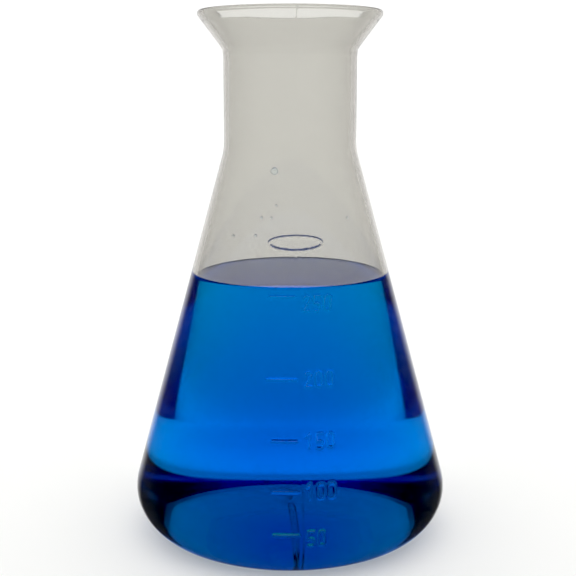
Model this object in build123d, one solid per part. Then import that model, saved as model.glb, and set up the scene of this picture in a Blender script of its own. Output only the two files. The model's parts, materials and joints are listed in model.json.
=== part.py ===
from build123d import *
from math import asin, atan2, cos, pi, radians, sin, sqrt, tan
import os

# Conical flask for 250 ml, blow-moulded in clear plastic, standing part filled with a solution.
# Millimetres. The origin is the middle of the surface it stands on, +Z goes up through the mouth,
# and the graduations face -Y.

# Shell, outside sizes. The cone takes the height that the neck and the flare leave.
height = 140.0
body_diameter = 85.0
heel_radius = 12.5
neck_diameter = 35.0
neck_length = 25.5
shoulder_radius = 14.0
flare_height = 10.0
flare_radius = 2.4
mouth_diameter = 48.2
lip_height = 1.3
lip_rounding = 0.6
wall = 1.5

# Base: a narrow ring to stand on, with the middle pushed up into a shallow dome.
standing_ring_width = 2.2
standing_ring_rounding = 3.0
dome_rise = 7.0
# The mould nips the plastic shut along a straight ridge under the base, turned a little from the front.
nip_length = 40.0
nip_thickness = 1.0
nip_height = 0.6
nip_angle = 4.0

# Graduations, raised from the same moulding.
top_line_height = 69.5
line_thickness = 0.6
lines_right = 1.4
lines_lean = 0.018
raised_by = 0.35
numeral_gap = 1.6
digit_height = 4.0
digit_width = 2.1
digit_pitch = 2.6
digit_stroke = 0.5
# Each row is the label, the length of its line and how far its numeral sits below the line.
graduations = [
    ("50", 6.8, 0.9),
    ("100", 6.8, 0.0),
    ("150", 6.8, 0.0),
    ("200", 7.8, 0.0),
    ("250", 6.8, 1.6),
]

# Plain oval outline above the graduations.
oval_above_top_line = 12.7
oval_right = 1.3
oval_width = 13.6
oval_height = 4.0

# Contents.
solution_above_top_line = 1.7
# Each drop is its angle from the front, its height above the solution and its diameter.
drops = [
    (-13, 28.4, 1.9),
    (-10, 20.0, 0.7),
    (-20, 16.9, 0.8),
    (-13, 17.0, 0.7),
    (-40, 12.0, 0.8),
    (-23, 12.5, 0.8),
    (43, 16.4, 0.8),
]

neck_top = height - flare_height
neck_bottom = neck_top - neck_length
solution_level = top_line_height + solution_above_top_line
room_above = height


def cone_angle():
    """Angle between the cone's side and the axis: tangent to the heel, through the neck's foot."""
    across = body_diameter / 2 - heel_radius - neck_diameter / 2
    up = neck_bottom - heel_radius
    return atan2(across, up) + asin(heel_radius / sqrt(across**2 + up**2))


def corner(radius, level, before, after, growth):
    """A corner of the outline when the two sides that meet there move outwards by growth.

    before and after are the angles of the sides' outward normals above the horizontal.
    """
    normal_before = Vector(cos(before), sin(before))
    normal_after = Vector(cos(after), sin(after))
    step = growth / (1 + normal_before.dot(normal_after))
    return Vector(radius, level) + (normal_before + normal_after) * step


def half_outline(growth, top):
    """Half of the flask's filled-in outline up to top, with every side moved outwards by growth."""
    side = cone_angle()
    foot_radius = neck_diameter / 2 + neck_bottom * tan(side)
    flare_rise = flare_height - lip_height
    flare = -atan2(mouth_diameter / 2 - neck_diameter / 2, flare_rise)
    below = -pi / 2

    # The dome and the ring's rounding are two circles that touch, about centres that never move.
    ring_radius = body_diameter / 2 - heel_radius - standing_ring_width
    dome_radius = (ring_radius**2 + dome_rise**2) / (2 * dome_rise) - standing_ring_rounding
    dome_centre = Vector(0, dome_rise - dome_radius)
    to_rounding = (Vector(ring_radius, standing_ring_rounding) - dome_centre).normalized()
    dome_foot = dome_centre + to_rounding * (dome_radius - growth)

    foot = corner(foot_radius, 0, below, side, growth)
    shoulder = corner(neck_diameter / 2, neck_bottom, side, 0, growth)
    throat = corner(neck_diameter / 2, neck_top, 0, flare, growth)
    brim = corner(mouth_diameter / 2, height - lip_height, flare, 0, growth)

    dome = TangentArc((0, dome_rise - growth), dome_foot, tangent=(1, 0))
    rounding = TangentArc(dome_foot, (ring_radius, -growth), tangent=dome % 1)
    side_line = FilletPolyline(
        (ring_radius, -growth),
        foot,
        shoulder,
        throat,
        brim,
        (brim.X, top),
        radius=[heel_radius + growth, shoulder_radius - growth, flare_radius - growth, 0],
    )
    closing = Polyline((brim.X, top), (0, top), (0, dome_rise - growth))
    return make_face(Plane.XZ * (dome + rounding + side_line + closing))


def turned(growth, top):
    return revolve(half_outline(growth, top), Axis.Z)


def filled(cavity, level):
    """What fills the cavity up to a level."""
    block = Box(body_diameter, body_diameter, level, align=(Align.CENTER, Align.CENTER, Align.MIN))
    return cavity & block


def level_for(cavity, volume):
    """The level at which the cavity holds a volume, by halving the span it must lie in."""
    low, high = 0.0, top_line_height
    while high - low > 0.01:
        middle = (low + high) / 2
        if filled(cavity, middle).volume < volume:
            low = middle
        else:
            high = middle
    return (low + high) / 2


def digit(character):
    """One numeral, drawn as a stroke of even width, centred on its own middle."""
    side = (digit_width - digit_stroke) / 2
    top = (digit_height - digit_stroke) / 2
    if character == "0":
        hole_height = digit_height - 2 * digit_stroke
        hole_width = digit_width - 2 * digit_stroke
        return SlotOverall(digit_height, digit_width, 90) - SlotOverall(hole_height, hole_width, 90)
    if character == "1":
        stroke = Polyline((-side, top - side), (0, top), (0, -top))
    elif character == "2":
        hook = ThreePointArc((-side, top - side), (0, top), (side, top - side))
        stroke = hook + Polyline((side, top - side), (-side, -top), (side, -top))
    else:
        bowl = ThreePointArc((-side, side - top + side), (side, side - top), (-side, -top))
        stroke = Polyline((side, top), (-side, top), (-side, 2 * side - top)) + bowl
    return trace(stroke, digit_stroke)


def numeral(label):
    """The digits of a label in a row, from x = 0 to the right."""
    row = Sketch()
    for place, character in enumerate(label):
        row += Pos(digit_width / 2 + place * digit_pitch, 0) * digit(character)
    return row


def markings(cavity):
    """Lines, numerals and oval as flat outlines, seen from the front."""
    full = filled(cavity, top_line_height).volume
    flat = Sketch()
    for step, (label, length, drop) in enumerate(graduations, start=1):
        level = level_for(cavity, full * step / len(graduations))
        right = lines_right + (top_line_height - level) * lines_lean
        print(f"{label} ml line at {level:.2f} mm")
        flat += Pos(right - length / 2, level) * Rectangle(length, line_thickness)
        flat += Pos(right + numeral_gap, level - drop) * numeral(label)
    oval = Ellipse(oval_width / 2, oval_height / 2)
    oval -= Ellipse(oval_width / 2 - digit_stroke, oval_height / 2 - digit_stroke)
    return flat + Pos(oval_right, top_line_height + oval_above_top_line) * oval


def relief(stamp, amount):
    """What a stamp raises from the outside of the wall, rooted halfway through it."""
    return (stamp & turned(amount, height)) - turned(-wall / 2, height + room_above)


def shell(cavity):
    """The one moulding: wall, domed base, rounded lip, markings and the nipped ridge."""
    section = half_outline(0, height) - half_outline(-wall, height + room_above)
    lip = section.vertices().group_by(Axis.Z)[-1]
    body = revolve(fillet(lip, lip_rounding), Axis.Z)
    marks = extrude(Plane.XZ * markings(cavity), amount=body_diameter)
    nip = Rot(0, 0, nip_angle) * Box(nip_thickness, nip_length, 2 * dome_rise + wall)
    return body + relief(marks, raised_by) + relief(nip, nip_height)


def wall_drops(cavity):
    """Drops of solution that cling to the inside of the wall."""
    clinging = []
    for angle, above, diameter in drops:
        level = solution_level + above
        reach = sqrt(cavity.intersect(Plane.XY.offset(level)).faces()[0].area / pi)
        turn = radians(angle)
        place = Pos(reach * sin(turn), -reach * cos(turn), level)
        pole_to_wall = Rot(0, 0, angle) * Rot(90, 0, 0)
        clinging.append((place * pole_to_wall * Sphere(diameter / 2)) & cavity)
    return Compound(children=[piece.solid() for piece in clinging])


cavity = turned(-wall, height + room_above)
nodes = {
    "flask": shell(cavity),
    "solution": filled(cavity, solution_level),
    "wall_drops": wall_drops(cavity),
}

os.makedirs("parts", exist_ok=True)
for name, shape in nodes.items():
    export_step(shape, f"parts/{name}.step")
    print(f"{name}: {shape.volume / 1000:.2f} ml, {len(shape.solids())} solids")
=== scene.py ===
# %% [markdown]
# # A 250 ml conical flask of clear plastic, with a blue solution in it
#
# The CAD model is the fixed frame: it says how big the flask is and where everything sits. This
# lesson dresses it. Clear things are the hardest to fake, because the eye reads them only by how
# they bend what is behind them, so every wall here is a real closed wall with two sides.

# %% load the frame
import json
import math

import bpy
import numpy as np
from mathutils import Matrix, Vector


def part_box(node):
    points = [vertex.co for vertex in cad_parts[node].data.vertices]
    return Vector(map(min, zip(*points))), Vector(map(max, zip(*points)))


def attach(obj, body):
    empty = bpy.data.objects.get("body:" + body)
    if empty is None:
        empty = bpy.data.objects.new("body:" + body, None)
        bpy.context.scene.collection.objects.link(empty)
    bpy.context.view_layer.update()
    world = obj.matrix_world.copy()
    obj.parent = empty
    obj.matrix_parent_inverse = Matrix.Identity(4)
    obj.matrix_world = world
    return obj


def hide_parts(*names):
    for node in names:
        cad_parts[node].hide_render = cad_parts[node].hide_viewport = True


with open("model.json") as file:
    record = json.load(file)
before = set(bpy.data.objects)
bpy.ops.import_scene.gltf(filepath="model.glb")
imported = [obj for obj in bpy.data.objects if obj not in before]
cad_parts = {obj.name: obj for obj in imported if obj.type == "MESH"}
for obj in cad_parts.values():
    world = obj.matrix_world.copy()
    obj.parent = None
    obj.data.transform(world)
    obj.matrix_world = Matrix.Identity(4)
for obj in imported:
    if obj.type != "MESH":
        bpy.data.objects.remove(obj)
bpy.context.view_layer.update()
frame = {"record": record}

# %% [markdown]
# ## Sizes
#
# Lengths are written in millimetres, as a mould maker has them, and turned to metres once. What the
# frame knows is read from it: the height, the body, the bore and the liquid's level. The frame's
# round faces are made of flats, so its body radius is rounded to a tenth of a millimetre. The
# smaller sizes repeat the drawing's own values.

# %% sizes
MM = 0.001
flask_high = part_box("flask")[1]
mounts = {mount["name"]: mount for mount in frame["record"]["mounts"]}

height = flask_high[2]
body_radius = round(flask_high[0] / MM, 1) * MM
bore_radius = mounts["neck_bore"]["dims"]["r_mm"] * MM
surface_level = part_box("solution")[1][2]

wall = 1.5 * MM
heel_radius = 12.5 * MM
neck_radius = bore_radius + wall
neck_length = 25.5 * MM
shoulder_radius = 14.0 * MM
flare_height = 10.0 * MM
flare_radius = 2.4 * MM
mouth_radius = 24.1 * MM
lip_height = 1.3 * MM
lip_rounding = 0.6 * MM
ring_width = 2.2 * MM
ring_rounding = 3.0 * MM
dome_rise = 7.0 * MM

neck_top = height - flare_height
neck_foot = neck_top - neck_length
print(f"body {2 * body_radius / MM:.1f} mm, neck {2 * neck_radius / MM:.1f} mm, "
      f"height {height / MM:.1f} mm, liquid to {surface_level / MM:.1f} mm")

# %% [markdown]
# ## The outline
#
# A blown flask is a shape of revolution, so all of it lies in one outline: straight sides joined by
# arcs that touch them. It could be drawn by hand as a curve and spun, but then its wall would be
# even only by luck. Here the outline is worked out, and the same outline moved inwards by the wall
# gives the inside. A corner moves along the sum of its two sides' normals, and its arc grows or
# shrinks by the same amount, which keeps the wall even all the way round.

# %% corners and arcs
def cone_angle():
    """Angle of the side: the line through the neck's foot that touches the heel's circle."""
    across = body_radius - heel_radius - neck_radius
    up = neck_foot - heel_radius
    return math.atan2(across, up) + math.asin(heel_radius / math.hypot(across, up))


def moved_corner(corner, before, after, growth):
    """Corner plus growth times (n1 + n2) / (1 + n1.n2), for unit normals n1 and n2 of its sides."""
    n1 = np.array([math.cos(before), math.sin(before)])
    n2 = np.array([math.cos(after), math.sin(after)])
    return np.array(corner) + (n1 + n2) * growth / (1 + n1 @ n2)


def arc_in_corner(before, corner, after, radius, steps):
    """Points on the circle that touches both sides of a corner, from one touching point to the other.

    Its centre lies on the bisector, radius / sin(half the corner's angle) away from the corner.
    """
    to_before = (before - corner) / np.linalg.norm(before - corner)
    to_after = (after - corner) / np.linalg.norm(after - corner)
    half = math.acos(np.clip(to_before @ to_after, -1, 1)) / 2
    bisector = (to_before + to_after) / np.linalg.norm(to_before + to_after)
    centre = corner + bisector * radius / math.sin(half)
    start = corner + to_before * radius / math.tan(half) - centre
    sweep = math.pi - 2 * half
    turn = math.copysign(1, to_before[0] * to_after[1] - to_before[1] * to_after[0])
    angles = math.atan2(start[1], start[0]) - turn * np.linspace(0, sweep, steps)
    return centre + radius * np.stack([np.cos(angles), np.sin(angles)], axis=1)


print(f"the side leans {math.degrees(cone_angle()):.2f} degrees")

# %% [markdown]
# The base is a narrow ring to stand on, with the middle pushed up into a shallow dome, so that the
# flask doesn't rock. The dome and the ring's rounding are two circles that touch, about centres that
# stay where they are when the outline moves inwards.

# %% outline
arc_steps = 12
base_points = arc_steps - 1 + arc_steps // 2


def outline(growth):
    """Radius and height along the outside, moved outwards by growth, from the dome's top to the lip.

    The first base_points are the dome and the ring's rounding. Everything above is straight sides
    with arcs in their corners.
    """
    side = cone_angle()
    foot_radius = neck_radius + neck_foot * math.tan(side)
    flare = -math.atan2(mouth_radius - neck_radius, flare_height - lip_height)
    ring = body_radius - heel_radius - ring_width
    dome_radius = (ring**2 + dome_rise**2) / (2 * dome_rise) - ring_rounding
    dome_centre = np.array([0.0, dome_rise - dome_radius])
    ring_centre = np.array([ring, ring_rounding])
    join = math.atan2(*(ring_centre - dome_centre))

    dome = np.linspace(0, join, arc_steps)[:-1, None]
    dome = dome_centre + (dome_radius - growth) * np.hstack([np.sin(dome), np.cos(dome)])
    rounding = np.linspace(join, 0, arc_steps // 2)[:, None]
    rounding = np.hstack([np.sin(rounding), np.cos(rounding)])
    rounding = ring_centre - (ring_rounding + growth) * rounding

    base = np.array([ring, -growth])
    foot = moved_corner((foot_radius, 0), -math.pi / 2, side, growth)
    shoulder = moved_corner((neck_radius, neck_foot), side, 0, growth)
    throat = moved_corner((neck_radius, neck_top), 0, flare, growth)
    brim = moved_corner((mouth_radius, height - lip_height), flare, 0, growth)
    top = np.array([brim[0], height])
    heel = arc_in_corner(base, foot, shoulder, heel_radius + growth, 3 * arc_steps)
    waist = arc_in_corner(foot, shoulder, throat, shoulder_radius - growth, arc_steps)
    bell = arc_in_corner(shoulder, throat, brim, flare_radius - growth, arc_steps)
    return np.vstack([dome, rounding, heel, waist, bell, brim[None], top[None]])


outside = outline(0.0)
inside = outline(-wall)
inner_wall = inside[base_points:]


def inner_radius(level):
    """Radius of the inside of the wall at a height, read along the outline."""
    return np.interp(level, inner_wall[:, 1], inner_wall[:, 0])


print(f"{len(outside)} points; inside radius at the surface {inner_radius(surface_level) / MM:.2f} mm")

# %% [markdown]
# ## The raised markings
#
# The lines and numerals are cut into the mould, so they stand out from the wall with soft edges. A
# text object would give them hard edges and a separate body. Here they are a height over the wall
# instead: for each point the distance to the nearest pen stroke is worked out, and a smooth step of
# that distance says how far the wall is raised.

# %% strokes
raised_by = 0.35 * MM
soft_edge = 0.16 * MM
stroke_half = 0.25 * MM
digit_width = 2.1 * MM
digit_height = 4.0 * MM


def soft_step(gap, width):
    """3 s^2 - 2 s^3, where s falls from 1 to 0 as gap goes from -width / 2 to width / 2."""
    share = np.clip(0.5 - gap / width, 0, 1)
    return share * share * (3 - 2 * share)


def to_stroke(x, z, points):
    """Distance from each (x, z) to a pen line through points: the least over its straight runs."""
    best = np.full(np.shape(x), np.inf)
    for (ax, az), (bx, bz) in zip(points[:-1], points[1:]):
        run_x, run_z = bx - ax, bz - az
        along = ((x - ax) * run_x + (z - az) * run_z) / (run_x**2 + run_z**2)
        along = np.clip(along, 0, 1)
        best = np.minimum(best, np.hypot(x - ax - along * run_x, z - az - along * run_z))
    return best


def arc_points(centre, radius, start, end, count=14):
    """Points round a circle from one angle to another, in degrees."""
    angles = np.radians(np.linspace(start, end, count))
    return [(centre[0] + radius * math.cos(a), centre[1] + radius * math.sin(a)) for a in angles]


def to_digit(x, z, character):
    """Distance to the pen line of one digit that is centred on the origin."""
    side = digit_width / 2 - stroke_half
    top = digit_height / 2 - stroke_half
    if character == "0":
        spine = to_stroke(x, z, [(0, side - top), (0, top - side)])
        return np.abs(spine - side)
    if character == "1":
        return to_stroke(x, z, [(-side, top - side), (0, top), (0, -top)])
    if character == "2":
        hook = arc_points((0, top - side), side, 180, 0)
        return to_stroke(x, z, hook + [(-side, -top), (side, -top)])
    # The bowl of the 5 is a little wider than half the digit and stays open at the left.
    bowl = arc_points((-side * 0.2, side - top), side * 1.2, 130, -130)
    return to_stroke(x, z, [(side, top), (-side, top), (-side, side * 0.9)] + bowl)


print(f"raised {raised_by / MM:.2f} mm, digits {digit_height / MM:.1f} mm high")

# %% [markdown]
# The top line's height is given. The lines below it stand at equal shares of what the flask holds
# up to there: the inside is added up slice by slice, as pi times the inner radius squared less that
# of the dome, and each line goes where its share is reached. The whole comes to a little under the
# 250 ml that the top line says, within what such flasks are made to.

# %% graduation heights
top_line = 69.5 * MM
labels = ["50", "100", "150", "200", "250"]
volume_slices = 4000


def line_levels():
    """Heights at which the inside holds equal shares of what it holds below the top line."""
    slices = np.linspace(0, top_line, volume_slices)
    dome = inside[base_points - 1 :: -1]
    floor = np.interp(slices, dome[:, 1], dome[:, 0], right=0)
    # Below the thickness of the wall there is only plastic.
    area = np.where(slices > wall, math.pi * (inner_radius(slices) ** 2 - floor**2), 0)
    held = np.concatenate([[0], np.cumsum((area[1:] + area[:-1]) / 2 * np.diff(slices))])
    shares = held[-1] * np.arange(1, len(labels) + 1) / len(labels)
    return np.interp(shares, held, slices), held[-1]


levels, held = line_levels()
print("lines at", np.round(levels / MM, 2), f"mm; {held * 1e6:.0f} ml below the top one")

# %% [markdown]
# Each line has its numeral at its right end, and the column of them leans a little. Above them is a
# plain oval as an ornament. The distance to an oval has no short formula, so it is taken as how far
# the scaled radius is from 1, divided by how fast that radius changes there, which is right close to
# the pen line, and only that is needed.

# %% markings
line_half = 0.30 * MM
line_lengths = np.array([6.8, 6.8, 6.8, 7.8, 6.8]) * MM
lines_right = 1.4 * MM
lines_lean = 0.018
numeral_gap = 1.6 * MM
numeral_drops = np.array([0.9, 0.0, 0.0, 0.0, 1.6]) * MM
digit_pitch = 2.6 * MM
oval_width = 13.6 * MM
oval_height = 4.0 * MM
oval_right = 1.3 * MM
oval_level = top_line + 12.7 * MM


def to_oval(x, z):
    """Distance to the oval's pen line: |r - 1| over the slope of r, for its scaled radius r."""
    across = oval_width / 2 - stroke_half
    up = oval_height / 2 - stroke_half
    right = x - oval_right
    above = z - oval_level
    scaled = np.maximum(np.hypot(right / across, above / up), 1e-9)
    slope = np.maximum(np.hypot(right / across**2, above / up**2) / scaled, 1e-9)
    return np.abs(scaled - 1) / slope


def raised(x, z):
    """How far the wall is raised at each (x, z), seen from the front."""
    gap = to_oval(x, z) - stroke_half
    for level, label, length, drop in zip(levels, labels, line_lengths, numeral_drops):
        right = lines_right + (top_line - level) * lines_lean
        line = to_stroke(x, z, [(right - length + line_half, level), (right - line_half, level)])
        gap = np.minimum(gap, line - line_half)
        for place, character in enumerate(label):
            middle = right + numeral_gap + digit_width / 2 + place * digit_pitch
            gap = np.minimum(gap, to_digit(x - middle, z - level + drop, character) - stroke_half)
    return raised_by * soft_step(gap, 2 * soft_edge)


on_line = raised(np.array([0.0]), levels[:1])[0]
print(f"{len(levels)} lines and an oval; the wall is raised {on_line / MM:.2f} mm on a line")

# %% [markdown]
# ## From grid to mesh
#
# Every surface here is a grid of points, rows along the outline by columns round the axis. The
# points could be joined with a loop over faces, but whole arrays are much faster: neighbours make
# four-sided faces, the last column joins the first, and a fan of triangles to one point on the axis
# closes each pole.

# %% mesh helpers
def mesh_from(name, vertices, loops, sizes):
    """Puts whole arrays of points, corners and face sizes into a new smooth-shaded object."""
    mesh = bpy.data.meshes.new(name)
    mesh.vertices.add(len(vertices))
    mesh.vertices.foreach_set("co", np.asarray(vertices, dtype=np.float32).ravel())
    mesh.loops.add(len(loops))
    mesh.loops.foreach_set("vertex_index", loops.astype(np.int32))
    mesh.polygons.add(len(sizes))
    starts = np.concatenate([[0], np.cumsum(sizes)[:-1]])
    mesh.polygons.foreach_set("loop_start", starts.astype(np.int32))
    mesh.polygons.foreach_set("use_smooth", np.ones(len(sizes), dtype=bool))
    mesh.update(calc_edges=True)
    mesh.validate()
    piece = bpy.data.objects.new(name, mesh)
    bpy.context.scene.collection.objects.link(piece)
    print(f"{name}: {len(vertices)} points, {int((sizes - 2).sum())} triangles")
    return piece


def lathe_mesh(name, points, marks=None):
    """A mesh from rows x columns x 3 points that run round the axis, with a point at each pole.

    marks gives attributes by name: a number for each grid point, and a number for the last pole.
    """
    rows, columns, _ = points.shape
    index = np.arange(rows * columns).reshape(rows, columns)
    after = np.roll(index, -1, axis=1)
    quads = np.stack([index[:-1], after[:-1], after[1:], index[1:]], axis=-1).reshape(-1, 4)
    first, last = rows * columns, rows * columns + 1
    vertices = np.vstack([points.reshape(-1, 3), points[0].mean(axis=0), points[-1].mean(axis=0)])
    start = np.stack([np.full(columns, first), after[0], index[0]], axis=-1)
    end = np.stack([np.full(columns, last), index[-1], after[-1]], axis=-1)
    loops = np.concatenate([start.ravel(), quads.ravel(), end.ravel()])
    sizes = np.repeat([3, 4, 3], [columns, len(quads), columns])
    piece = mesh_from(name, vertices, loops, sizes)
    for mark, (grid, at_end) in (marks or {}).items():
        values = np.concatenate([np.broadcast_to(grid, (rows, columns)).ravel(), [0, at_end]])
        attribute = piece.data.attributes.new(mark, "FLOAT", "POINT")
        attribute.data.foreach_set("value", values.astype(np.float32))
    return piece


def around(radius, level, angles):
    """Points (r sin a, -r cos a, z), so that angle 0 is the front and it grows to the right."""
    x = radius * np.sin(angles)
    y = -radius * np.cos(angles)
    return np.stack([x, y, np.broadcast_to(level, x.shape)], axis=-1)


# %% [markdown]
# ## The shell
#
# The whole flask is one moulding, so it is one closed skin: the outside, over the lip and down the
# inside. Solidify could give a sheet its thickness, but then the markings would show on the inside
# too, where the real wall is smooth. The skin needs a fine grid only at the markings, at the two
# mould seams and where the liquid meets the wall, so the columns and the rows are close together
# there and far apart elsewhere.

# %% columns and rows
seam_angle = math.radians(4.0)
coarse_turn = 2.0
markings_turn = 0.38
markings_left = -17
markings_right = 25
seam_turn = 0.4
seam_reach = 3.6
even_turns = np.radians(np.arange(-180, 180, coarse_turn))


def column_angles():
    """Angles round the axis, dense at the markings and the back seam, even elsewhere."""
    front = np.radians(np.arange(markings_left, markings_right, markings_turn))
    back = np.radians(np.arange(-seam_reach, seam_reach + 0.01, seam_turn))
    back = seam_angle - math.pi + back
    clear = 0.02
    off_front = (even_turns < front[0] - clear) | (even_turns > front[-1] + clear)
    off_back = np.abs(even_turns - seam_angle + math.pi) > 2 * math.radians(coarse_turn)
    return np.sort(np.concatenate([even_turns[off_front & off_back], front, back]))


def spaced(points, step):
    """The same line with points no further apart than step, by length along it."""
    run = np.concatenate([[0], np.cumsum(np.linalg.norm(np.diff(points, axis=0), axis=1))])
    count = np.maximum(1, np.ceil(np.diff(run) / step)).astype(int)
    stretches = zip(run, run[1:], count)
    at = np.concatenate([np.linspace(a, b, n, endpoint=False) for a, b, n in stretches])
    at = np.append(at, run[-1])
    return np.stack([np.interp(at, run, points[:, 0]), np.interp(at, run, points[:, 1])], axis=1)


def row_points(line, bands, coarse, fine):
    """The outline with rows fine apart inside the bands of height and coarse apart elsewhere."""
    dense = spaced(line, fine)
    run = np.concatenate([[0], np.cumsum(np.linalg.norm(np.diff(dense, axis=0), axis=1))])
    wanted = np.full(len(dense), coarse)
    on_wall = dense[:, 0] > 0.9 * bore_radius
    for low, high in bands:
        wanted[(dense[:, 1] > low) & (dense[:, 1] < high) & on_wall] = fine
    count = np.concatenate([[0], np.cumsum(np.diff(run) / wanted[:-1])])
    at = np.interp(np.linspace(0, count[-1], int(count[-1]) + 1), count, run)
    return np.stack([np.interp(at, run, dense[:, 0]), np.interp(at, run, dense[:, 1])], axis=1)


angles = column_angles()
print(f"{len(angles)} columns round the flask")

# %% [markdown]
# Two mould halves meet at a seam, which leaves a ridge a tenth of a millimetre high down the front
# and the back. The same halves nip the hot tube shut under the base, along a straight ridge. Both
# catch the light, so they are shape and not only shading.

# %% seams and nipped ridge
seam_height = 0.12 * MM
seam_half = 0.22 * MM
seam_starts = 1.2 * MM
seam_fade = 4.0 * MM
nip_height = 0.6 * MM
nip_half = 0.5 * MM
nip_reach = 20.0 * MM


def normals_of(line):
    """Unit normals of an outline that runs upwards on the outside, pointing away from the axis."""
    along = np.gradient(line, axis=0)
    along /= np.linalg.norm(along, axis=1, keepdims=True)
    return np.stack([along[:, 1], -along[:, 0]], axis=1)


def seam_ridge(radius, level):
    """Height times exp(-(distance from the seam / half width) squared), fading in above the ring."""
    off_seam = np.minimum(np.abs(angles - seam_angle), np.abs(angles - seam_angle + math.pi)) * radius
    fade = np.clip((level - seam_starts) / seam_fade, 0, 1)
    return seam_height * np.exp(-((off_seam / seam_half) ** 2)) * fade


def nip_ridge(radius):
    """A soft step of the distance from a straight bar across the base, along the seam."""
    across = np.abs(radius * np.sin(angles - seam_angle))
    along = np.abs(radius * np.cos(angles - seam_angle))
    gap = np.maximum(across - nip_half, along - nip_reach)
    return nip_height * soft_step(gap, 4 * soft_edge)


def outer_skin(skin):
    """The outside, moved along its normals by markings, seams and ridge, and how marked each point is."""
    lift = normals_of(skin)
    radius = np.repeat(skin[:, :1], len(angles), axis=1)
    level = skin[:, 1:]
    marks = raised(radius * np.sin(angles), level + 0 * radius)
    marks = np.where(np.cos(angles) > 0.5, marks, 0)
    under = np.arange(len(skin))[:, None] < np.argmin(skin[:, 1])
    relief = marks + seam_ridge(radius, level) + nip_ridge(radius) * under
    points = around(radius + lift[:, :1] * relief, level + lift[:, 1:] * relief, angles)
    return points, marks / raised_by


print(f"seam {seam_height / MM:.2f} mm high, ridge {2 * nip_reach / MM:.0f} mm long")

# %% [markdown]
# Only the outside of a blown wall touches the mould, so the inside is never quite even. It wanders by
# a few hundredths of a millimetre, in two slow twists and a ripple, which is what makes the light in
# it move. The mouth is formed on a pin and is even.

# %% lining and lip
twist_height = 0.05 * MM
ripple_height = 0.03 * MM
even_above = 1.9 * surface_level
even_fade = 20 * MM
lip_steps = 8


def lining_skin(lining):
    """The inside, moved along its normals by sines of the angle and of the height in metres."""
    sink = normals_of(lining)
    radius = np.repeat(lining[:, :1], len(angles), axis=1)
    level = lining[:, 1:]
    twist = np.sin(2 * angles + 40 * level) + np.sin(3 * angles - 70 * level + 1)
    ripple = np.sin(150 * level + 2 * np.sin(angles))
    wander = twist_height * twist / 2 + ripple_height * ripple
    wander = wander * np.clip((even_above - level) / even_fade, 0, 1)
    return around(radius + sink[:, :1] * wander, level + sink[:, 1:] * wander, angles)


def lip_points(outer_top, inner_top):
    """From the outer edge to the inner: a quarter circle, a flat and a quarter circle."""
    quarter = np.linspace(0, math.pi / 2, lip_steps)[:, None]
    outer_centre = outer_top - lip_rounding
    inner_centre = inner_top + np.array([lip_rounding, -lip_rounding])
    over = outer_centre + lip_rounding * np.hstack([np.cos(quarter), np.sin(quarter)])
    down = inner_centre + lip_rounding * np.hstack([-np.sin(quarter), np.cos(quarter)])
    return np.vstack([over, down])


print(f"inside wanders by up to {(twist_height + ripple_height) / MM:.2f} mm")

# %% [markdown]
# Now the three parts make one skin. Two numbers are kept for each of its points, for the materials
# to read: "frosted" is 1 on a raised mark and 0 beside it, and "wetted" is 1 on the inside below the
# place where the liquid ends, which is a little above its level, because it climbs the wall.

# %% shell
climb = 0.3 * MM
contact = surface_level + climb
contact_band = 1.5 * MM


def marking_bands():
    """Bands of height that hold the lines, their numerals and the oval, with a little to spare."""
    bands = [(level - 3.2 * MM, level + 3.0 * MM) for level in levels]
    bands += [(levels[0] - 4.2 * MM, levels[0]), (levels[-1] - 4.8 * MM, levels[-1])]
    return bands + [(oval_level - 3.3 * MM, oval_level + 3.3 * MM)]


def make_shell():
    """Outside with its markings, over the lip, and down the inside, as one closed skin."""
    skin = row_points(outside[1:-1], marking_bands(), coarse=1.8 * MM, fine=0.27 * MM)
    bands = [(contact - contact_band, contact + contact_band)]
    lining = row_points(inside[1:-1], bands, coarse=2.0 * MM, fine=0.3 * MM)
    lip = lip_points(outside[-1], inside[-1])

    outer, frosted = outer_skin(skin)
    rim = around(np.repeat(lip[:, :1], len(angles), axis=1), lip[:, 1:], angles)
    inner = lining_skin(lining)[::-1]
    rest = np.zeros((len(lip) + len(lining), len(angles)))
    frosted = np.concatenate([frosted, rest])
    dry = np.zeros(len(skin) + len(lip))
    wetted = np.concatenate([dry, lining[::-1, 1] < contact])[:, None]
    grid = np.concatenate([outer, rim, inner])
    return lathe_mesh("clear_flask", grid, {"frosted": (frosted, 0), "wetted": (wetted, 1)})


shell = make_shell()
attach(shell, "root")
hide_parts("flask")

# %% [markdown]
# ## The solution
#
# A liquid in a clear wall touches it everywhere. If two separate skins were drawn with a sliver of
# air between them, the light would bounce in that air and the side would turn to silver. So the
# liquid's skin is set a tenth of a millimetre into the wall. Its surface is flat in the middle and
# climbs the wall at the edge, where it is steepest, so its rows are closest together there.

# %% solution
into_wall = 0.12 * MM
climb_reach = 0.7 * MM
below_contact = 0.2 * MM
surface_rows = 60


def make_solution():
    """Up the wall's inside to the surface, then in to the axis; the surface rises as exp(-distance)."""
    side = row_points(inside[1:-1], [], coarse=1.3 * MM, fine=0.4 * MM)
    side = side[side[:, 1] < contact - below_contact]
    side = side + normals_of(side) * into_wall
    edge_radius = inner_radius(contact) + into_wall
    side = np.vstack([side, [edge_radius, contact]])
    inwards = edge_radius * (1 - np.linspace(0, 1, surface_rows)[1:-1] ** 2)
    surface = surface_level + climb * np.exp(-(edge_radius - inwards) / climb_reach)
    line = np.vstack([side, np.stack([inwards, surface], axis=1)])
    radius = np.repeat(line[:, :1], len(even_turns), axis=1)
    return lathe_mesh("blue_solution", around(radius, line[:, 1:], even_turns))


solution = make_solution()
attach(solution, "root")
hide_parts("solution")

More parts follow.
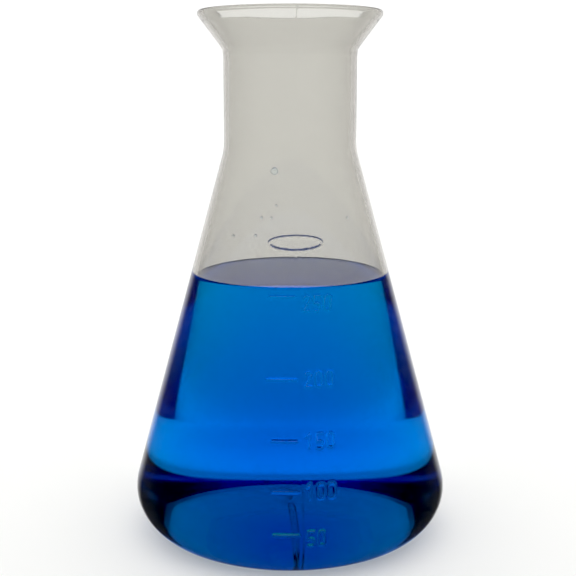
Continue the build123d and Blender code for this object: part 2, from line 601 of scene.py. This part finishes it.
# %% [markdown]
# ## Drops on the wall
#
# A few drops of the solution cling to the inside above the surface. Metaballs could make them, but
# their edges are hard to place. Each is a ball squashed to about half its depth instead, with its
# middle on the wall: one half bulges into the flask, and the other lies in the plastic, so that no
# air is left between. Each row gives a drop's angle from the front in degrees, and its height above
# the surface and its diameter in millimetres.

# %% drops
drop_places = [
    (-13, 28.4, 1.9),
    (-10, 20.0, 0.7),
    (-20, 16.9, 0.8),
    (-13, 17.0, 0.7),
    (-40, 12.0, 0.8),
    (-23, 12.5, 0.8),
    (43, 16.4, 0.8),
]
drop_depth = 0.55
drop_rows = 16
drop_turns = np.radians(np.arange(0, 360, 15))


def make_drop(name, degrees, above, diameter):
    """A ball round a point of the inner wall, squashed along the wall's normal there."""
    level = surface_level + above * MM
    turn = math.radians(degrees)
    half = diameter / 2 * MM
    over = np.linspace(0, math.pi, drop_rows)[1:-1, None]
    deep = -half * drop_depth * np.cos(over) + 0 * drop_turns
    side = half * np.sin(over) * np.sin(drop_turns)
    up = half * np.sin(over) * np.cos(drop_turns)
    lean = cone_angle() if level < neck_foot else 0.0
    right = np.array([math.cos(turn), math.sin(turn), 0])
    away = np.array([math.sin(turn), -math.cos(turn), 0])
    out = away * math.cos(lean) + np.array([0, 0, math.sin(lean)])
    upward = np.cross(right, out)
    middle = away * inner_radius(level) + np.array([0, 0, level])
    points = middle + deep[..., None] * out + side[..., None] * right + up[..., None] * upward
    return lathe_mesh(name, points)


drop_pieces = [make_drop(f"drop_{n}", *place) for n, place in enumerate(drop_places)]
bpy.ops.object.select_all(action="DESELECT")
for piece in drop_pieces:
    piece.select_set(True)
bpy.context.view_layer.objects.active = drop_pieces[0]
bpy.ops.object.join()
drops = drop_pieces[0]
drops.name = "clinging_drops"
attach(drops, "root")
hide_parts("wall_drops")

# %% [markdown]
# ## Materials
#
# One function turns the hex colours that a paint chart gives into the linear values that light
# adds up in, and one adds a node with its settings and links.

# %% material helpers
def linear(hex_colour):
    """sRGB hex to linear RGBA: c / 12.92 below 0.04045, else ((c + 0.055) / 1.055) to the power 2.4."""
    value = np.array([int(hex_colour[i : i + 2], 16) for i in (1, 3, 5)]) / 255
    value = np.where(value <= 0.04045, value / 12.92, ((value + 0.055) / 1.055) ** 2.4)
    return (*value.tolist(), 1.0)


def add_node(tree, kind, settings=None, links=None):
    """A node of this kind: settings go to sockets, by name or number, or to properties; links to sockets."""
    node = tree.nodes.new(kind)
    for key, value in (settings or {}).items():
        if isinstance(key, int) or key in node.inputs:
            node.inputs[key].default_value = value
        else:
            setattr(node, key, value)
    for key, source in (links or {}).items():
        tree.links.new(source, node.inputs[key])
    return node


def new_material(name):
    """An empty node material and its output node."""
    material = bpy.data.materials.new(name)
    material.use_nodes = True
    material.node_tree.nodes.clear()
    return material, material.node_tree, add_node(material.node_tree, "ShaderNodeOutputMaterial")


print("a mid grey of #808080 is", round(linear("#808080")[0], 3), "in linear light")

# %% [markdown]
# ### Clear moulded plastic
#
# Lab flasks of this kind are blown from polymethylpentene, index 1.463. The grey it is given here
# is painted shade: it stands in for a dimmer backdrop seen through the wall, and darkens everything
# behind it. A tint on the surface takes the same share of light at every wall, and one in the volume
# takes more where the way through the wall is longer, so the painted grey is split between the two.
# The eye gets an even grey from the first, darker edges from the second, where the view runs along
# the wall, and a gloss that is smooth but not quite glassy, in patches about 11 mm across. The cutter
# leaves the marks in the mould rougher, so they look frosted.
#
# Cycles reckons each skin against air, so the wall's inside would mirror the room even where water
# touches it, and the real boundary of plastic and water mirrors almost nothing. Specular Tint scales
# the straight-on reflection, so it is 1 where the wall is dry and 0 where "wetted" is 1.

# %% clear plastic
gloss_patch = 11.11 * MM
mark_frost = 0.30


def moulded_plastic():
    """Blown polymethylpentene: uneven gloss, duller on the raised marks, painted grey shade in the mass."""
    material, tree, output = new_material("clear_polymethylpentene")
    place = add_node(tree, "ShaderNodeTexCoord").outputs["Object"]
    patches = {"Scale": 1 / gloss_patch, "Detail": 4.0}
    haze = add_node(tree, "ShaderNodeTexNoise", patches, {"Vector": place})
    gloss = {"From Min": 0.35, "From Max": 0.7, "To Min": 0.015, "To Max": 0.05}
    rough = add_node(tree, "ShaderNodeMapRange", gloss, {"Value": haze.outputs["Fac"]})
    mark = add_node(tree, "ShaderNodeAttribute", {"attribute_name": "frosted"})
    frost = {"operation": "MULTIPLY_ADD", "use_clamp": True, 1: mark_frost}
    adds = {0: mark.outputs["Fac"], 2: rough.outputs["Result"]}
    frost = add_node(tree, "ShaderNodeMath", frost, adds)
    wetted = add_node(tree, "ShaderNodeAttribute", {"attribute_name": "wetted"})
    one_less = {"operation": "SUBTRACT", 0: 1.0}
    mirror = add_node(tree, "ShaderNodeMath", one_less, {1: wetted.outputs["Fac"]})
    # The grey in Base Color is painted shade, standing in for a dimmer backdrop seen through the wall.
    surface = {"Base Color": linear("#E8E8E5"), "IOR": 1.463, "Transmission Weight": 1.0}
    finish = {"Roughness": frost.outputs["Value"], "Specular Tint": mirror.outputs["Value"]}
    body = add_node(tree, "ShaderNodeBsdfPrincipled", surface, finish)
    # This grey absorption is painted shade too, darker where the way through the wall is longer.
    grey = {"Color": linear("#AEA198"), "Density": 90.0}
    mass = add_node(tree, "ShaderNodeVolumeAbsorption", grey)
    tree.links.new(body.outputs["BSDF"], output.inputs["Surface"])
    tree.links.new(mass.outputs["Volume"], output.inputs["Volume"])
    return material


shell.data.materials.append(moulded_plastic())
print(shell.name, "is", shell.data.materials[0].name)

# %% [markdown]
# ### Blue solution
#
# Water, index 1.333, with a dye that takes red first and green more slowly. A blue surface colour
# would be the same at any depth. With the dye in the volume the eye gets a pale teal where the way
# through is short and a deep blue where it is long. The faint cloud in tint and gloss, about 22 mm
# across, is a solution that isn't fully stirred.
#
# The solution wets the wall everywhere, so its skin has no straight-on reflection, for the reason
# given for the plastic. The drops' skin meets air and keeps its own. Drops so high up are partly
# water that has condensed there, so they have a paler dye.

# %% blue solution
cloud_patch = 22.22 * MM


def dyed_water(name, mirror, dye_density):
    """Water with a blue dye in its volume; mirror scales its straight-on reflection, from 0 to 1."""
    material, tree, output = new_material(name)
    place = add_node(tree, "ShaderNodeTexCoord").outputs["Object"]
    patches = {"Scale": 1 / cloud_patch, "Detail": 3.0}
    cloud = add_node(tree, "ShaderNodeTexNoise", patches, {"Vector": place})
    tints = {"data_type": "RGBA", 6: linear("#F3FAFF"), 7: linear("#FFFFFF")}
    tone = add_node(tree, "ShaderNodeMix", tints, {"Factor": cloud.outputs["Fac"]})
    film = {"From Min": 0.4, "From Max": 0.7, "To Min": 0.0, "To Max": 0.02}
    film = add_node(tree, "ShaderNodeMapRange", film, {"Value": cloud.outputs["Fac"]})
    surface = {"IOR": 1.333, "Transmission Weight": 1.0, "Specular Tint": (mirror, mirror, mirror, 1)}
    finish = {"Base Color": tone.outputs[2], "Roughness": film.outputs["Result"]}
    body = add_node(tree, "ShaderNodeBsdfPrincipled", surface, finish)
    blue = {"Color": linear("#00EEFF"), "Density": dye_density}
    dye = add_node(tree, "ShaderNodeVolumeAbsorption", blue)
    tree.links.new(body.outputs["BSDF"], output.inputs["Surface"])
    tree.links.new(dye.outputs["Volume"], output.inputs["Volume"])
    return material


solution.data.materials.append(dyed_water("blue_dyed_water", 0.0, 150.0))
drops.data.materials.append(dyed_water("pale_blue_dyed_water", 1.0, 40.0))
print(solution.name, "is", solution.data.materials[0].name)
print(drops.name, "are", drops.data.materials[0].name)

# %% [markdown]
# ## The sweep
#
# A sweep is a roll of matt paper that bends up from a table into a backdrop, so that nothing behind
# the flask has an edge. A plane and a box would show a corner through the liquid, upside down. It
# is left out of mirrored rays, because a white floor in every reflection would take the flask's
# dark edges away.

# %% sweep
sweep_front = -1.0
sweep_back = 1.0
sweep_top = 1.0
sweep_half_width = 1.6
sweep_columns = 9
bend_radius = 0.45
bend_steps = 40


def make_sweep():
    """A floor that bends up into a wall: a straight run, a quarter circle and a straight rise."""
    quarter = np.linspace(0, math.pi / 2, bend_steps)
    bend_start = sweep_back - bend_radius
    forward = bend_start + bend_radius * np.sin(quarter)
    curve = np.stack([forward, bend_radius * (1 - np.cos(quarter))], axis=1)
    run = np.vstack([[[sweep_front, 0]], curve, [[sweep_back, sweep_top]]])
    across = np.linspace(-sweep_half_width, sweep_half_width, sweep_columns)
    y, x = np.meshgrid(run[:, 0], across, indexing="ij")
    points = np.stack([x, y, np.broadcast_to(run[:, 1:], x.shape)], axis=-1)
    index = np.arange(x.size).reshape(x.shape)
    quads = np.stack([index[:-1, :-1], index[:-1, 1:], index[1:, 1:], index[1:, :-1]], axis=-1)
    quads = quads.reshape(-1, 4)
    return mesh_from("sweep", points.reshape(-1, 3), quads.ravel(), np.full(len(quads), 4))


def pale_paper():
    """Matt white paper: a rough surface that sends light evenly to all sides."""
    material, tree, output = new_material("pale_paper")
    matt = {"Base Color": linear("#F4F4F2"), "Roughness": 0.9, "Specular IOR Level": 0.2}
    body = add_node(tree, "ShaderNodeBsdfPrincipled", matt)
    tree.links.new(body.outputs["BSDF"], output.inputs["Surface"])
    return material


sweep = make_sweep()
sweep.visible_glossy = False
sweep.data.materials.append(pale_paper())

# %% [markdown]
# ## Light
#
# A clear thing is lit by what is round it, so the room matters more than the lamps. The room's
# brightness goes by direction. It is pale at the walls and brighter overhead and in front, as a
# bench under a lit ceiling would see it. For mirrored rays it is much dimmer, except straight
# behind, because a mirror image of a white room would lie over the whole flask like milk. Light has
# to get through six skins or more, and is mirrored inside them on its way, so many bounces are kept.
#
# The flask and the liquid cast no direct shadow. Cycles can't bend a shadow ray through them, so it
# would draw a dark blot where the real flask lets the light through.

# %% room
scene = bpy.context.scene
scene.cycles.max_bounces = 40
scene.cycles.transmission_bounces = 40
scene.cycles.glossy_bounces = 24
scene.cycles.diffuse_bounces = 6

room_walls = 0.85
room_ceiling = 1.05
room_front = 1.25
room_mirrored = 0.07


def soft_room():
    """Walls to ceiling by the direction's Z, times front by its Y, times a share for mirrored rays."""
    world = bpy.data.worlds.new("soft_room")
    world.use_nodes = True
    tree = world.node_tree
    tree.nodes.clear()
    smooth = {"interpolation_type": "SMOOTHSTEP"}
    times = {"operation": "MULTIPLY"}
    direction = add_node(tree, "ShaderNodeTexCoord").outputs["Generated"]
    part = add_node(tree, "ShaderNodeSeparateXYZ", links={"Vector": direction}).outputs

    rise = smooth | {"From Min": 0.4, "From Max": 0.8, "To Min": room_walls, "To Max": room_ceiling}
    rise = add_node(tree, "ShaderNodeMapRange", rise, {"Value": part["Z"]})
    front = smooth | {"From Min": -0.5, "From Max": -0.2, "To Min": room_front, "To Max": 1.0}
    front = add_node(tree, "ShaderNodeMapRange", front, {"Value": part["Y"]})

    kind = add_node(tree, "ShaderNodeLightPath").outputs
    only = {"operation": "SUBTRACT", "use_clamp": True}
    rays = {0: kind["Is Glossy Ray"], 1: kind["Is Transmission Ray"]}
    mirrored = add_node(tree, "ShaderNodeMath", only, rays)
    behind = smooth | {"From Min": 0.75, "From Max": 0.93, "To Min": room_mirrored, "To Max": 1.0}
    behind = add_node(tree, "ShaderNodeMapRange", behind, {"Value": part["Y"]})
    share = {"Value": mirrored.outputs["Value"], "To Max": behind.outputs["Result"]}
    share = add_node(tree, "ShaderNodeMapRange", {"To Min": 1.0}, share)

    strength = {0: rise.outputs["Result"], 1: front.outputs["Result"]}
    strength = add_node(tree, "ShaderNodeMath", times, strength)
    strength = {0: strength.outputs["Value"], 1: share.outputs["Result"]}
    strength = {"Strength": add_node(tree, "ShaderNodeMath", times, strength).outputs["Value"]}
    glow = add_node(tree, "ShaderNodeBackground", {"Color": (1, 1, 1, 1)}, strength)
    output = add_node(tree, "ShaderNodeOutputWorld")
    tree.links.new(glow.outputs["Background"], output.inputs["Surface"])
    return world


scene.world = soft_room()
for piece in (shell, solution, drops):
    piece.visible_shadow = False
print(f"room: walls {room_walls}, ceiling {room_ceiling}, mirrored {room_mirrored}")

# %% [markdown]
# Three lamps help the room. One lights the table, one the backdrop, and a small strip just above the
# table, right behind the flask, makes the light band low in the liquid. They aren't seen themselves,
# in the plastic or beside it, because a small bright rectangle in the wall would give the trick away.

# %% lamps
def soft_lamp(name, place, target, size, watts):
    """A rectangular lamp that lights matt things and isn't itself seen."""
    data = bpy.data.lights.new(name, "AREA")
    data.shape = "RECTANGLE"
    data.size, data.size_y = size
    data.energy = watts
    lamp = bpy.data.objects.new(name, data)
    lamp.location = place
    lamp.rotation_euler = (Vector(target) - Vector(place)).to_track_quat("-Z", "Y").to_euler()
    lamp.visible_camera = lamp.visible_glossy = lamp.visible_transmission = False
    scene.collection.objects.link(lamp)
    print(f"{name}: {watts} W, {size[0]} by {size[1]} m")


soft_lamp("overhead", (0, 0.10, 0.45), (0, 0.10, 0), (0.2, 0.2), 0.2)
soft_lamp("backdrop_lamp", (0, 0.35, 0.80), (0, 0.95, 0.25), (0.6, 0.2), 0.95)
soft_lamp("low_strip", (0, 0.059, 0.014), (0, 0.059, 0), (0.07, 0.008), 0.005)

# %% [markdown]
# ## The camera
#
# It stands close to the flask and a little above the surface of the liquid, looking down by ten
# degrees, so that the surface shows as a narrow oval. The black level is raised slightly, which
# takes the last grey haze off a deep colour.

# %% camera
camera_place = (-0.00057, -0.2889, 0.1194)
looks_down = 10.317

camera_data = bpy.data.cameras.new("camera")
camera_data.sensor_width = 36.0
camera_data.lens = 67.54
camera_data.clip_start = 0.01
camera = bpy.data.objects.new("camera", camera_data)
camera.location = camera_place
camera.rotation_euler = (math.radians(90 - looks_down), 0, 0)
scene.collection.objects.link(camera)
scene.camera = camera
scene.view_settings.view_transform = "Standard"
scene.view_settings.use_curve_mapping = True
scene.view_settings.curve_mapping.black_level = (0.012, 0.012, 0.012)
print(f"camera {-camera_place[1]:.3f} m in front, {camera_place[2]:.3f} m up")
